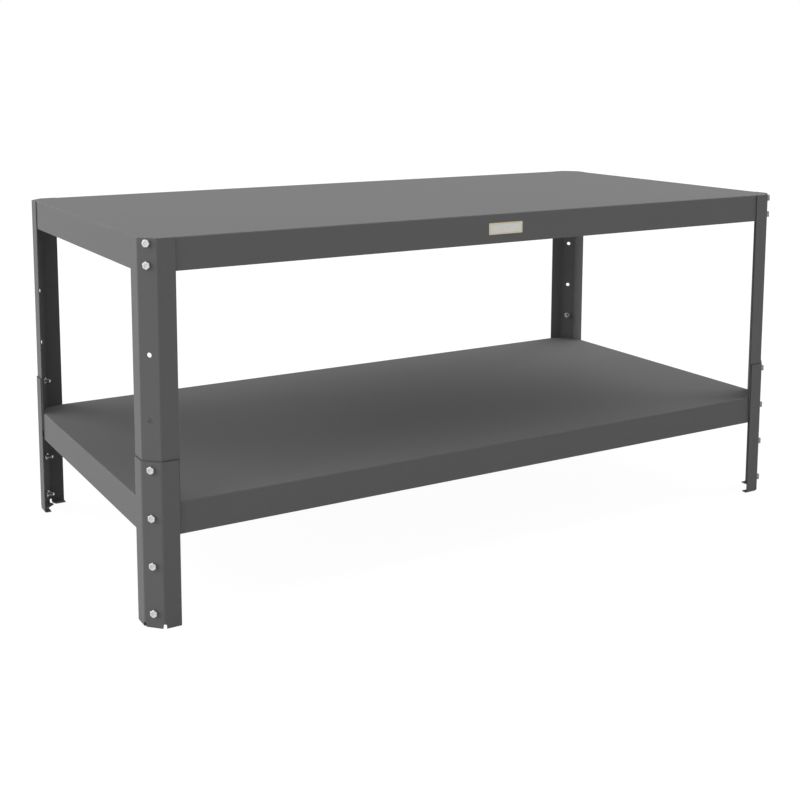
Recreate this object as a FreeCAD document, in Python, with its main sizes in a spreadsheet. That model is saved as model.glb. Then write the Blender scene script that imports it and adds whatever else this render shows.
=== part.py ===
import FreeCAD, Part
import Sketcher
import math
import os

# Assembly table: two flanged steel decks bolted inside four telescoping corner legs.
# Lengths are in millimetres. +X runs along the table, +Y to the back and +Z up. The
# origin is on the floor under the middle of the table.

# ---------------------------------------------------------------- sizes

SIZES = [
    ("table_height", 609.6, "floor to the working surface"),
    ("deck_length", 1316.8, "over the flanges of a deck"),
    ("deck_depth", 639.6, "over the flanges of a deck"),
    ("deck_sheet", 1.5, "sheet of both decks"),
    ("deck_flange", 51.6, "height of a deck's turned-down edge"),
    ("deck_bend", 0.5, "inner radius of a deck's bends"),
    ("corner_cut", 22.2, "taken off each side at a deck's 45 degree corner"),
    ("relief_width", 3.0, "slot between two flanges of a deck"),
    ("leg_sheet", 1.9, "sheet of the upper legs and the sleeves"),
    ("leg_bend", 2.0, "inner radius of an upper leg's two bends"),
    ("leg_side", 29.2, "side of an upper leg, from its bend to its edge"),
    ("sleeve_side", 27.7, "side of a sleeve, from its bend to its edge"),
    ("hole_rim", 12.7, "from the end hole of an upper leg or a sleeve to the end of its sheet"),
    ("foot_flap", 12.7, "how far a foot flap is turned in"),
    ("foot_bend", 1.5, "inner radius of the bends at the floor"),
    ("notch_width", 5.5, "round-topped notch between two foot flaps"),
    ("notch_height", 8.5, "floor to the top of that notch"),
    ("coat_gap", 0.1, "room that the powder coat takes between two sheets"),
    ("hole_diameter", 7.94, "clearance hole of every bolt"),
    ("first_hole", 25.4, "floor to the lowest hole"),
    ("hole_pitch", 76.2, "step between the height holes"),
    ("high_hole", 431.8, "floor to the highest spare hole"),
    ("deck_hole_drop", 7.6, "top of the work deck to its upper holes"),
    ("deck_hole_pitch", 33.3, "upper to lower hole at a corner of the work deck"),
    ("shelf_hole_drop", 21.1, "top of the lower shelf to its hole"),
    ("bolt_diameter", 6.35, "shank"),
    ("bolt_length", 19.05, "under the head"),
    ("hex_width", 11.11, "across the flats of a head or a nut"),
    ("head_height", 4.5, "hexagon head"),
    ("nut_height", 5.56, "hexagon nut"),
    ("thread_gap", 0.1, "between a shank and its nut, all round"),
    ("hat_crown", 44.0, "crown of the reinforcing channel"),
    ("hat_height", 38.0, "underside of a deck to the crown"),
    ("hat_foot", 19.0, "each welded foot of the channel"),
    ("hat_sheet", 1.5, "sheet of the channel"),
    ("hat_bend", 2.0, "inner radius of the channel's bends"),
    ("hat_end_gap", 30.0, "end of the channel to the end of the deck"),
    ("label_width", 71.0, "blank label on the front flange"),
    ("label_height", 20.3, "blank label"),
    ("label_sheet", 0.5, "blank label"),
]

# Name of a corner, its sign along X and along Y, and the turn of its leg about Z.
CORNERS = [
    ("front_left", -1, -1, 225.0),
    ("front_right", 1, -1, 315.0),
    ("back_right", 1, 1, 45.0),
    ("back_left", -1, 1, 135.0),
]

SIN45 = "sqrt(0.5)"
TAN22 = "(sqrt(2) - 1)"
HALF_TURN_OF_BEND = 22.5
CORNER_SPIN = 17.0
NEAR = 0.01

# A cut runs this many times the size that it has to pass through.
CLEAR_THROUGH = 4

# How far the outer face of each post lies outside the flange of a deck.
LEG_REACH = "(Sizes.coat_gap + Sizes.leg_sheet)"
SLEEVE_REACH = f"(2 * {LEG_REACH})"

# The height holes are numbered from the floor. A sleeve has the lowest ones, and the table
# stands at its tallest: the upper legs start at the hole that holds the shelf. The hole
# above it joins sleeve and leg, and the two below it carry spare bolts in the sleeve alone.
HEIGHT_STEPS = 5
SLEEVE_STEPS = 4
LEG_BOLT_STEPS = [3]
SHELF_BOLT_STEPS = [2]
SLEEVE_BOLT_STEPS = [1, 0]


def step_heights(steps):
    """Heights of numbered height holes above the floor."""
    return [f"(Sizes.first_hole + {step} * Sizes.hole_pitch)" for step in steps]


# Heights above the floor.
DECK_TOP = "Sizes.table_height"
DECK_DROPS = ["Sizes.deck_hole_drop", "(Sizes.deck_hole_drop + Sizes.deck_hole_pitch)"]
DECK_BOLT_HEIGHTS = [f"({DECK_TOP} - {drop})" for drop in DECK_DROPS]
LEG_BOLT_HEIGHTS = step_heights(LEG_BOLT_STEPS)
SHELF_BOLT_HEIGHTS = step_heights(SHELF_BOLT_STEPS)
SLEEVE_BOLT_HEIGHTS = step_heights(SLEEVE_BOLT_STEPS)
SHELF_TOP = f"({SHELF_BOLT_HEIGHTS[0]} + Sizes.shelf_hole_drop)"
SLEEVE_HEIGHTS = step_heights(range(SLEEVE_STEPS))
SLEEVE_TOP = f"({SLEEVE_HEIGHTS[-1]} + Sizes.hole_rim)"
LEG_HEIGHTS = (step_heights(range(SHELF_BOLT_STEPS[0], HEIGHT_STEPS))
               + ["Sizes.high_hole"] + DECK_BOLT_HEIGHTS)
LEG_BOTTOM = f"({LEG_HEIGHTS[0]} - Sizes.hole_rim)"

# Metal between a bolt's head and its nut.
DECK_GRIP = f"({LEG_REACH} + Sizes.deck_sheet)"
LEG_GRIP = f"({LEG_REACH} + Sizes.leg_sheet)"
SHELF_GRIP = f"({SLEEVE_REACH} + Sizes.deck_sheet)"
SLEEVE_GRIP = "Sizes.leg_sheet"

# Bolts, nuts, reach of the face under the heads, heights, grip and how far each bolt and
# each nut is turned. A nut at the top of a deck has a flat upward: the sheet keeps it
# from turning.
FASTENERS = [
    ("deck_bolts", "deck_nuts", LEG_REACH, DECK_BOLT_HEIGHTS, DECK_GRIP, (27, 5), (30, 30)),
    ("leg_bolt", "leg_nut", SLEEVE_REACH, LEG_BOLT_HEIGHTS, LEG_GRIP, (0,), (8,)),
    ("shelf_bolt", "shelf_nut", SLEEVE_REACH, SHELF_BOLT_HEIGHTS, SHELF_GRIP, (1,), (15,)),
    ("sleeve_bolts", "sleeve_nuts", SLEEVE_REACH, SLEEVE_BOLT_HEIGHTS, SLEEVE_GRIP,
     (2, 1), (21, 47)),
]

doc = FreeCAD.newDocument("AssemblyTable")
sheet = doc.addObject("Spreadsheet::Sheet", "Sizes")
for row, (alias, size, note) in enumerate(SIZES, 1):
    sheet.set(f"A{row}", alias)
    sheet.set(f"B{row}", str(size))
    sheet.set(f"C{row}", note)
    sheet.setAlias(f"B{row}", alias)
doc.recompute()


# ---------------------------------------------------------------- measures

def value(expression):
    """The number that an expression on the sheet gives."""
    return float(sheet.evalExpression(expression))


def cut_at(reach):
    """Corner cut of a deck's outline once it has grown outward by reach."""
    return f"(Sizes.corner_cut + (2 - sqrt(2)) * {reach})"


def half_web(reach):
    """Half the width of the 45 degree face that lies reach outside a deck."""
    return f"({cut_at(reach)} / sqrt(2))"


# ---------------------------------------------------------------- sketches

def new_body(label):
    body = doc.addObject("PartDesign::Body", label)
    body.Label = label
    return body


def origin_plane(body, role):
    return next(item for item in body.Origin.OriginFeatures if item.Role == role)


def new_sketch(body, name, role="XY_Plane", turn=None):
    """A sketch on one of the body's origin planes, turned in place if asked."""
    sketch = body.newObject("Sketcher::SketchObject", f"{body.Label}_{name}")
    sketch.AttachmentSupport = [(origin_plane(body, role), "")]
    sketch.MapMode = "FlatFace"
    if turn is not None:
        sketch.AttachmentOffset = FreeCAD.Placement(FreeCAD.Vector(), turn)
    return sketch


def pin(sketch, geometry, place, across=None, upward=None):
    """Hold a sketch point at its expressions, measured from the origin."""
    for kind, expression, axis in (("DistanceX", across, -2), ("DistanceY", upward, -1)):
        if expression is None:
            continue
        if abs(value(expression)) < NEAR:
            sketch.addConstraint(Sketcher.Constraint("PointOnObject", geometry, place, axis))
            continue
        number = sketch.addConstraint(
            Sketcher.Constraint(kind, -1, 1, geometry, place, value(expression)))
        sketch.setExpression(f"Constraints[{number}]", expression)


def point(across, upward):
    return FreeCAD.Vector(value(across), value(upward), 0)


def polygon(sketch, corners):
    """Closed outline of straight lines; each corner is a pair of expressions."""
    count = len(corners)
    spots = [point(*corner) for corner in corners]
    for index in range(count):
        sketch.addGeometry(Part.LineSegment(spots[index], spots[(index + 1) % count]))
    for index in range(count):
        following = (index + 1) % count
        sketch.addConstraint(Sketcher.Constraint("Coincident", index, 2, following, 1))
    for index, (across, upward) in enumerate(corners):
        pin(sketch, index, 1, across, upward)


def circle(sketch, across, upward, diameter):
    ring = sketch.addGeometry(
        Part.Circle(point(across, upward), FreeCAD.Vector(0, 0, 1), value(diameter) / 2))
    pin(sketch, ring, 3, across, upward)
    number = sketch.addConstraint(Sketcher.Constraint("Diameter", ring, value(diameter)))
    sketch.setExpression(f"Constraints[{number}]", diameter)


def arch(sketch, width, foot, shoulder):
    """Straight sides from foot to shoulder, closed by a half round above."""
    half = f"({width} / 2)"
    mirrored = f"(-{half})"
    corners = [(mirrored, shoulder), (mirrored, foot), (half, foot), (half, shoulder)]
    spots = [point(*corner) for corner in corners]
    for index in range(3):
        sketch.addGeometry(Part.LineSegment(spots[index], spots[index + 1]))
    ring = Part.Circle(point("0", shoulder), FreeCAD.Vector(0, 0, 1), value(half))
    crown = sketch.addGeometry(Part.ArcOfCircle(ring, 0, math.pi))
    for index in range(2):
        sketch.addConstraint(Sketcher.Constraint("Coincident", index, 2, index + 1, 1))
    sketch.addConstraint(Sketcher.Constraint("Coincident", 2, 2, crown, 1))
    sketch.addConstraint(Sketcher.Constraint("Coincident", crown, 2, 0, 1))
    for index, (across, upward) in enumerate(corners[:3]):
        pin(sketch, index, 1, across, upward)
    pin(sketch, 2, 2, *corners[3])
    pin(sketch, crown, 3, upward=shoulder)


# ---------------------------------------------------------------- features

def pad(body, name, sketch, length, side="One side", downward=False):
    feature = body.newObject("PartDesign::Pad", f"{body.Label}_{name}")
    feature.Profile = sketch
    feature.SideType = side
    feature.Reversed = downward
    feature.setExpression("Length", length)
    doc.recompute()


def check_removed(body, feature, volume_before):
    """Stop if a cut has taken nothing off the solid."""
    doc.recompute()
    if not body.Shape.Volume < volume_before - NEAR:
        raise RuntimeError(f"{feature.Name} removed nothing")


def pocket(body, name, sketch, length, side="Symmetric"):
    doc.recompute()
    volume_before = body.Shape.Volume
    feature = body.newObject("PartDesign::Pocket", f"{body.Label}_{name}")
    feature.Profile = sketch
    feature.SideType = side
    feature.setExpression("Length", length)
    check_removed(body, feature, volume_before)


def fillet(body, name, edges, radius):
    """Round edges of the body's present solid."""
    base = body.Tip
    feature = body.newObject("PartDesign::Fillet", f"{body.Label}_{name}")
    feature.Base = (base, edges)
    feature.setExpression("Radius", radius)
    doc.recompute()


def straight_edges(body, test):
    """Names of the straight edges of the body whose two ends both pass the test."""
    names = []
    for number, edge in enumerate(body.Shape.Edges, 1):
        if isinstance(edge.Curve, Part.Line) and all(test(v.Point) for v in edge.Vertexes):
            names.append(f"Edge{number}")
    if not names:
        raise RuntimeError(f"{body.Label}: no edge passes the test")
    return names


def same(first, second):
    return abs(first - second) < NEAR


# ---------------------------------------------------------------- decks

def deck_octagon(inset):
    """Plan of a deck, taken in by inset all round."""
    length = f"(Sizes.deck_length / 2 - {inset})"
    depth = f"(Sizes.deck_depth / 2 - {inset})"
    cut = cut_at(f"(-{inset})")
    corners = []
    for _, sign_x, sign_y, _ in CORNERS:
        pair = [
            (f"({sign_x} * ({length} - {cut}))", f"({sign_y} * {depth})"),
            (f"({sign_x} * {length})", f"({sign_y} * ({depth} - {cut}))"),
        ]
        corners += pair if sign_x != sign_y else pair[::-1]
    return corners


def deck(label, top, hole_drops):
    """Flanged pan with 45 degree corners; its top is the body's z = 0."""
    body = new_body(label)
    plan = new_sketch(body, "plan")
    polygon(plan, deck_octagon("0"))
    pad(body, "block", plan, "Sizes.deck_flange", downward=True)
    fillet(body, "outer_bend", straight_edges(body, lambda spot: same(spot.z, 0)),
           "Sizes.deck_bend + Sizes.deck_sheet")
    hollow = new_sketch(body, "hollow_plan")
    hollow.setExpression("AttachmentOffset.Base.z", "-Sizes.deck_sheet")
    polygon(hollow, deck_octagon("Sizes.deck_sheet"))
    pocket(body, "hollow", hollow, "Sizes.deck_flange", side="One side")
    underside = -value("Sizes.deck_sheet")
    fillet(body, "inner_bend", straight_edges(body, lambda spot: same(spot.z, underside)),
           "Sizes.deck_bend")
    for corner in CORNERS:
        relief_slots(body, corner)
        tab_holes(body, corner, hole_drops)
    body.setExpression("Placement.Base.z", top)
    return body


def relief_slots(body, corner):
    """Slots at both ends of a corner tab, where its bend meets the bends of the sides."""
    name, sign_x, sign_y, turn = corner
    bend = "(Sizes.deck_sheet + Sizes.deck_bend)"
    cut = cut_at(f"(-{bend})")
    for side, cut_x, cut_y in (("end", "0", cut), ("long", cut, "0")):
        same_way = (side == "long") == (sign_x == sign_y)
        outward = turn + (HALF_TURN_OF_BEND if same_way else -HALF_TURN_OF_BEND)
        inward = FreeCAD.Rotation(FreeCAD.Vector(0, 0, 1), outward + 90)
        slot = new_sketch(body, f"{name}_{side}_slot_plan", turn=inward)
        slot.setExpression("AttachmentOffset.Base.x",
                           f"{sign_x} * (Sizes.deck_length / 2 - {bend} - {cut_x})")
        slot.setExpression("AttachmentOffset.Base.y",
                           f"{sign_y} * (Sizes.deck_depth / 2 - {bend} - {cut_y})")
        arch(slot, "Sizes.relief_width", f"(-2 * {bend})", "0")
        pocket(body, f"{name}_{side}_slot", slot, f"{CLEAR_THROUGH} * Sizes.deck_flange")


def tab_holes(body, corner, hole_drops):
    """Bolt holes through one corner tab, square to the tab."""
    name, sign_x, sign_y, turn = corner
    overrun = "(2 * Sizes.deck_sheet)"
    inward = f"({cut_at('0')} / 2 + {overrun} * {SIN45})"
    for number, drop in enumerate(hole_drops, 1):
        volume_before = body.Shape.Volume
        hole = body.newObject(
            "PartDesign::SubtractiveCylinder", f"{body.Label}_{name}_hole_{number}")
        hole.AttachmentSupport = [(origin_plane(body, "XY_Plane"), "")]
        hole.MapMode = "FlatFace"
        hole.AttachmentOffset = FreeCAD.Placement(
            FreeCAD.Vector(), FreeCAD.Rotation(turn, 90, 0))
        hole.setExpression("AttachmentOffset.Base.x",
                           f"{sign_x} * (Sizes.deck_length / 2 - {inward})")
        hole.setExpression("AttachmentOffset.Base.y",
                           f"{sign_y} * (Sizes.deck_depth / 2 - {inward})")
        hole.setExpression("AttachmentOffset.Base.z", f"-{drop}")
        hole.setExpression("Radius", "Sizes.hole_diameter / 2")
        hole.setExpression("Height", f"2 * {overrun}")
        check_removed(body, hole, volume_before)


def reinforcing_channel(label, top):
    """Hat-section channel welded lengthwise under the middle of a deck."""
    body = new_body(label)
    wall = "(Sizes.hat_crown / 2)"
    inner_wall = f"({wall} - Sizes.hat_sheet)"
    edge = f"({wall} + Sizes.hat_foot)"
    seat = "(-Sizes.deck_sheet)"
    foot = f"({seat} - Sizes.hat_sheet)"
    crown = f"({seat} - Sizes.hat_height)"
    inner_crown = f"({crown} + Sizes.hat_sheet)"
    right = [(inner_wall, inner_crown), (inner_wall, seat), (edge, seat), (edge, foot),
             (wall, foot), (wall, crown)]
    left = [(f"(-{across})", upward) for across, upward in right[::-1]]
    section = new_sketch(body, "section", "YZ_Plane")
    polygon(section, right + left)
    pad(body, "length", section, "Sizes.deck_length - 2 * Sizes.hat_end_gap", "Symmetric")
    for name, corners, radius in (
            ("inner_bends", ((wall, foot), (inner_wall, inner_crown)), "Sizes.hat_bend"),
            ("outer_bends", ((inner_wall, seat), (wall, crown)),
             "Sizes.hat_bend + Sizes.hat_sheet")):
        edges = []
        for across, upward in corners:
            height = value(upward)
            for side in (value(across), -value(across)):
                edges += straight_edges(
                    body, lambda spot: same(spot.y, side) and same(spot.z, height))
        fillet(body, name, edges, radius)
    body.setExpression("Placement.Base.z", top)
    return body


# ---------------------------------------------------------------- posts

def post_plan(reach, side, depth):
    """Plan of a corner post: its web across x = 0 and two sides turned back 45 degrees."""
    half = half_web(reach)
    run = f"({side} * {SIN45})"
    step = f"({depth} * {SIN45})"
    upper = [
        ("0", half),
        (f"(-{run})", f"({half} + {run})"),
        (f"(-{run} - {step})", f"({half} + {run} - {step})"),
        (f"(-{depth})", f"({half} - {depth} * {TAN22})"),
    ]
    lower = [(across, f"(-{upward})") for across, upward in upper]
    return upper + lower[::-1]


def round_bends(body, reach, inner_radius):
    """Round both upright bends of a post about shared centres."""
    for name, depth, radius in (
            ("outer_bends", "0", f"{inner_radius} + Sizes.leg_sheet"),
            ("inner_bends", "Sizes.leg_sheet", inner_radius)):
        x = value(f"-{depth}")
        y = value(f"{half_web(reach)} - {depth} * {TAN22}")
        edges = []
        for side in (y, -y):
            edges += straight_edges(
                body, lambda spot: same(spot.x, x) and same(spot.y, side))
        fillet(body, name, edges, radius)


def web_holes(body, heights):
    """Holes through the web, square to it."""
    holes = new_sketch(body, "hole_centres", "YZ_Plane")
    for height in heights:
        circle(holes, "0", height, "Sizes.hole_diameter")
    pocket(body, "holes", holes, f"{CLEAR_THROUGH} * Sizes.leg_sheet")


def stand_at_corner(item, corner, reach):
    """Place an item that is modelled with the outer face of the web at x = 0."""
    _, sign_x, sign_y, turn = corner
    out = f"({reach} - {cut_at(reach)} / 2)"
    item.Placement = FreeCAD.Placement(
        FreeCAD.Vector(), FreeCAD.Rotation(FreeCAD.Vector(0, 0, 1), turn))
    item.setExpression("Placement.Base.x", f"{sign_x} * (Sizes.deck_length / 2 + {out})")
    item.setExpression("Placement.Base.y", f"{sign_y} * (Sizes.deck_depth / 2 + {out})")


def upper_leg(corner):
    """Upper part of a leg, bolted outside the corners of the decks."""
    body = new_body(f"upper_leg_{corner[0]}")
    plan = new_sketch(body, "plan")
    plan.setExpression("AttachmentOffset.Base.z", LEG_BOTTOM)
    polygon(plan, post_plan(LEG_REACH, "Sizes.leg_side", "Sizes.leg_sheet"))
    pad(body, "wall", plan, f"{DECK_TOP} - {LEG_BOTTOM}")
    round_bends(body, LEG_REACH, "Sizes.leg_bend")
    web_holes(body, LEG_HEIGHTS)
    stand_at_corner(body, corner, LEG_REACH)
    return body


def lower_leg(corner):
    """Sleeve round an upper leg's lower end, with three flaps turned in at the floor."""
    body = new_body(f"lower_leg_{corner[0]}")
    wall = new_sketch(body, "wall_plan")
    polygon(wall, post_plan(SLEEVE_REACH, "Sizes.sleeve_side", "Sizes.leg_sheet"))
    pad(body, "wall", wall, SLEEVE_TOP)
    flaps = new_sketch(body, "flap_plan")
    polygon(flaps, post_plan(SLEEVE_REACH, "Sizes.sleeve_side", "Sizes.foot_flap"))
    pad(body, "flaps", flaps, "Sizes.leg_sheet")
    round_bends(body, SLEEVE_REACH, f"Sizes.leg_bend + {LEG_REACH}")
    for name, side in (("right", 1), ("left", -1)):
        foot_notch(body, name, side)
    round_foot(body)
    web_holes(body, SLEEVE_HEIGHTS)
    stand_at_corner(body, corner, SLEEVE_REACH)
    return body


def foot_notch(body, name, side):
    """Round-topped notch through one bend, so that the flaps beside it can turn in."""
    across_bend = FreeCAD.Rotation(FreeCAD.Vector(0, 1, 0), side * HALF_TURN_OF_BEND)
    notch = new_sketch(body, f"{name}_notch_face", "YZ_Plane", across_bend)
    notch.setExpression("AttachmentOffset.Base.x", f"{side} * {half_web(SLEEVE_REACH)}")
    arch(notch, "Sizes.notch_width", "(-Sizes.notch_height)",
         "(Sizes.notch_height - Sizes.notch_width / 2)")
    pocket(body, f"{name}_notch", notch, f"{CLEAR_THROUGH} * Sizes.foot_flap")


def round_foot(body):
    """Round the bend of each foot flap, outside at the floor and inside above it."""
    half = value(half_web(SLEEVE_REACH))
    thickness = value("Sizes.leg_sheet")
    for name, depth, height, radius in (
            ("outer_foot_bends", 0, 0, "Sizes.foot_bend + Sizes.leg_sheet"),
            ("inner_foot_bends", thickness, thickness, "Sizes.foot_bend")):
        web = -depth
        side = half - depth * math.sqrt(2)
        edges = straight_edges(
            body, lambda spot: same(spot.z, height) and same(spot.x, web))
        edges += straight_edges(
            body, lambda spot: same(spot.z, height) and same(spot.x + abs(spot.y), side))
        fillet(body, name, edges, radius)


# ---------------------------------------------------------------- fasteners

def hexagon(body, name, height, downward):
    """Hexagon prism on the XY plane."""
    corners = [
        (f"(Sizes.hex_width / sqrt(3) * cos({angle}))",
         f"(Sizes.hex_width / sqrt(3) * sin({angle}))") for angle in range(0, 360, 60)]
    plan = new_sketch(body, f"{name}_plan")
    polygon(plan, corners)
    pad(body, name, plan, height, downward=downward)


def hex_bolt():
    """Bolt along Z: the underside of its head is z = 0 and the shank points down."""
    body = new_body("hex_bolt")
    hexagon(body, "head", "Sizes.head_height", downward=False)
    shank = new_sketch(body, "shank_plan")
    circle(shank, "0", "0", "Sizes.bolt_diameter")
    pad(body, "shank", shank, "Sizes.bolt_length", downward=True)
    return body


def hex_nut():
    """Nut along Z: its bearing face is z = 0 and its body lies below."""
    body = new_body("hex_nut")
    hexagon(body, "body", "Sizes.nut_height", downward=True)
    bore = new_sketch(body, "bore_plan")
    circle(bore, "0", "0", "Sizes.bolt_diameter + 2 * Sizes.thread_gap")
    pocket(body, "bore", bore, f"{CLEAR_THROUGH} * Sizes.nut_height")
    return body


def fastener_group(label, master, corner, reach, places, grip="0"):
    """Copies of a bolt or a nut on one leg, each at its height and spin, behind grip."""
    copies = []
    for number, (height, spin) in enumerate(places, 1):
        copy = doc.addObject("App::Link", f"{label}_{number}")
        copy.LinkedObject = master
        copy.Placement = FreeCAD.Placement(
            FreeCAD.Vector(),
            FreeCAD.Rotation(FreeCAD.Vector(0, 1, 0), 90)
            * FreeCAD.Rotation(FreeCAD.Vector(0, 0, 1), spin))
        copy.setExpression("Placement.Base.x", f"-{grip}")
        copy.setExpression("Placement.Base.z", height)
        copies.append(copy)
    group = doc.addObject("Part::Compound", label)
    group.Label = label
    group.Links = copies
    stand_at_corner(group, corner, reach)
    return group


def blank_label():
    """Thin blank plate stuck to the middle of the front flange."""
    plate = doc.addObject("Part::Box", "label_plate")
    plate.Label = "label_plate"
    plate.setExpression("Length", "Sizes.label_width")
    plate.setExpression("Width", "Sizes.label_sheet")
    plate.setExpression("Height", "Sizes.label_height")
    plate.setExpression("Placement.Base.x", "-Sizes.label_width / 2")
    plate.setExpression("Placement.Base.y", "-Sizes.deck_depth / 2 - Sizes.label_sheet")
    plate.setExpression(
        "Placement.Base.z",
        "Sizes.table_height - Sizes.deck_flange / 2 - Sizes.label_height / 2")
    return plate


# ---------------------------------------------------------------- the table

pieces = [
    deck("top_deck", DECK_TOP, DECK_DROPS),
    deck("lower_shelf", SHELF_TOP, ["Sizes.shelf_hole_drop"]),
    reinforcing_channel("top_channel", DECK_TOP),
    reinforcing_channel("shelf_channel", SHELF_TOP),
    blank_label(),
]
bolt = hex_bolt()
nut = hex_nut()
for index, spot in enumerate(CORNERS):
    pieces.append(upper_leg(spot))
    pieces.append(lower_leg(spot))
    for bolts, nuts, reach, heights, grip, bolt_spins, nut_spins in FASTENERS:
        turned = [spin + index * CORNER_SPIN for spin in bolt_spins]
        pieces.append(fastener_group(
            f"{bolts}_{spot[0]}", bolt, spot, reach, list(zip(heights, turned))))
        pieces.append(fastener_group(
            f"{nuts}_{spot[0]}", nut, spot, reach, list(zip(heights, nut_spins)), grip))
doc.recompute()

# ---------------------------------------------------------------- checks and files

for item in doc.Objects:
    if "Invalid" in item.State or "Error" in item.State:
        raise RuntimeError(f"{item.Name} failed: {item.State}")
for piece in pieces:
    if piece.Shape.isNull() or not piece.Shape.isValid():
        raise RuntimeError(f"{piece.Label} has no sound shape")

os.makedirs("parts", exist_ok=True)
for piece in pieces:
    piece.Shape.exportStep(os.path.join("parts", f"{piece.Label}.step"))
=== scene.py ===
"""Looks of a steel assembly table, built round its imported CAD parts.

Lengths are in metres. +X runs along the table, +Y to the back and +Z up.
"""

import math

import bmesh
import bpy
import numpy as np
from mathutils import Matrix, Vector


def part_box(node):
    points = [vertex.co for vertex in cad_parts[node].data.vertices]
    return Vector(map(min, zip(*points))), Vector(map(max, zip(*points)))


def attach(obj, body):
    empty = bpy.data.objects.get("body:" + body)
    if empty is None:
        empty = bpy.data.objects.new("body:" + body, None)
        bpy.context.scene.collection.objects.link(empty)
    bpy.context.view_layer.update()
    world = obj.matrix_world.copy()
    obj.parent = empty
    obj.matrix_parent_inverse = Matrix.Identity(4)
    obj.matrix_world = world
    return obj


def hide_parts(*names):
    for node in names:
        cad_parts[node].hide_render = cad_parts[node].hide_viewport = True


bl_info = {
    "name": "Assembly table",
    "version": (1, 0, 0),
    "blender": (4, 5, 0),
    "location": "View3D > Sidebar > Table",
    "description": "Dresses a steel assembly table: coat, bolts, nuts, label and studio",
    "category": "Object",
}

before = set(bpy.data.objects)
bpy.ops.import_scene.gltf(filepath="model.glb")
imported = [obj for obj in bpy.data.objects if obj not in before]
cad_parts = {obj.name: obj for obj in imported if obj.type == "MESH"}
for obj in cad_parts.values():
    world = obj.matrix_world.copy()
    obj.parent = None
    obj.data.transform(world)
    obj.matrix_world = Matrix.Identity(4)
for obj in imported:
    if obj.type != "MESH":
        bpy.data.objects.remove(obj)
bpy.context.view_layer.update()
BODY = "root"
MM = 0.001

DECKS = ["top_deck", "lower_shelf"]
CHANNELS = ["top_channel", "shelf_channel"]
CORNERS = ["front_left", "front_right", "back_right", "back_left"]
UPPER_LEGS = [f"upper_leg_{corner}" for corner in CORNERS]
SLEEVES = [f"lower_leg_{corner}" for corner in CORNERS]
BOLT_NODES = [
    f"{family}_{corner}"
    for family in ("deck_bolts", "leg_bolt", "shelf_bolt", "sleeve_bolts")
    for corner in CORNERS
]
NUT_NODES = [name.replace("bolt", "nut") for name in BOLT_NODES]

FULL_TURN = 2 * math.pi
QUARTER_TURN = math.pi / 2
SIXTH_TURN = math.pi / 3
HALF_FLAT = math.pi / 6

# Points of one fastener that are this near to its greatest radius lie on the hexagon, and
# fasteners one above the other are at least this far apart.
RIM_BAND = 0.05 * MM
FASTENER_GAP = 10 * MM

WHITE = (1.0, 1.0, 1.0, 1.0)


# ---------------------------------------------------------------- places from the frame


def node_points(name):
    """The corners of a CAD node's mesh, one row each."""
    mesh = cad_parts[name].data
    points = np.empty(len(mesh.vertices) * 3)
    mesh.vertices.foreach_get("co", points)
    return points.reshape(-1, 3)


def separate_by_height(points):
    """Split the points of several fasteners, one above the other, into one set each."""
    ordered = points[np.argsort(points[:, 2])]
    gaps = np.flatnonzero(np.diff(ordered[:, 2]) > FASTENER_GAP)
    return np.split(ordered, gaps + 1)


def outward_from(points):
    """The level direction at 45 degrees in which a corner's fasteners point."""
    side_x, side_y = np.sign(points[:, :2].mean(axis=0))
    return Vector((side_x, side_y, 0)).normalized()


def measure_fastener(points):
    """Bearing plane, ends, radii and turn of one bolt or nut.

    Its own Z axis points outward. Its X axis runs down in "level" and meets a corner of the
    hexagon in "turned".
    """
    outward = outward_from(points)
    down = Vector((0, 0, -1))
    level = Matrix((down, outward.cross(down), outward)).transposed()
    local = points @ np.array(level)
    centre = (local[:, :2].min(axis=0) + local[:, :2].max(axis=0)) / 2
    away = local[:, :2] - centre
    radius = np.hypot(*away.T)
    corner_x, corner_y = away[radius.argmax()]
    turn = math.atan2(corner_y, corner_x) % SIXTH_TURN
    rim = radius > radius.max() - RIM_BAND
    return {
        "level": level,
        "turned": level @ Matrix.Rotation(turn, 3, "Z"),
        "axis": centre,
        "inner_end": local[:, 2].min(),
        "outer_end": local[:, 2].max(),
        "hexagon_inner_end": local[rim, 2].min(),
        "corner_radius": radius.max(),
        "round_radius": radius.min(),
    }


def measure_fasteners(names):
    """The measures of every fastener in some CAD nodes."""
    return [
        measure_fastener(points)
        for name in names
        for points in separate_by_height(node_points(name))
    ]


def seat_of(fastener, height):
    """Point on a fastener's axis at a height along it, in the frame's own axes."""
    return fastener["level"] @ Vector((*fastener["axis"], height))


FIRST_BOLT = measure_fasteners(BOLT_NODES[:1])[0]
FIRST_NUT = measure_fasteners(NUT_NODES[:1])[0]
HEX_WIDTH = 2 * FIRST_BOLT["corner_radius"] * math.cos(HALF_FLAT)
HEAD_HEIGHT = FIRST_BOLT["outer_end"] - FIRST_BOLT["hexagon_inner_end"]
BOLT_LENGTH = FIRST_BOLT["hexagon_inner_end"] - FIRST_BOLT["inner_end"]
NUT_HEIGHT = FIRST_NUT["outer_end"] - FIRST_NUT["inner_end"]


# ---------------------------------------------------------------- settings


def length_setting(name, description, default):
    return bpy.props.FloatProperty(
        name=name,
        description=description,
        default=default,
        min=0,
        precision=5,
        subtype="DISTANCE",
        unit="LENGTH",
    )


def colour_setting(name, description, default):
    return bpy.props.FloatVectorProperty(
        name=name,
        description=description,
        default=default,
        min=0,
        max=1,
        size=3,
        subtype="COLOR",
    )


def share_setting(name, description, default):
    return bpy.props.FloatProperty(
        name=name, description=description, default=default, min=0, max=1, subtype="FACTOR"
    )


def light_setting(name, description, default):
    return bpy.props.FloatProperty(name=name, description=description, default=default, min=0)


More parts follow.
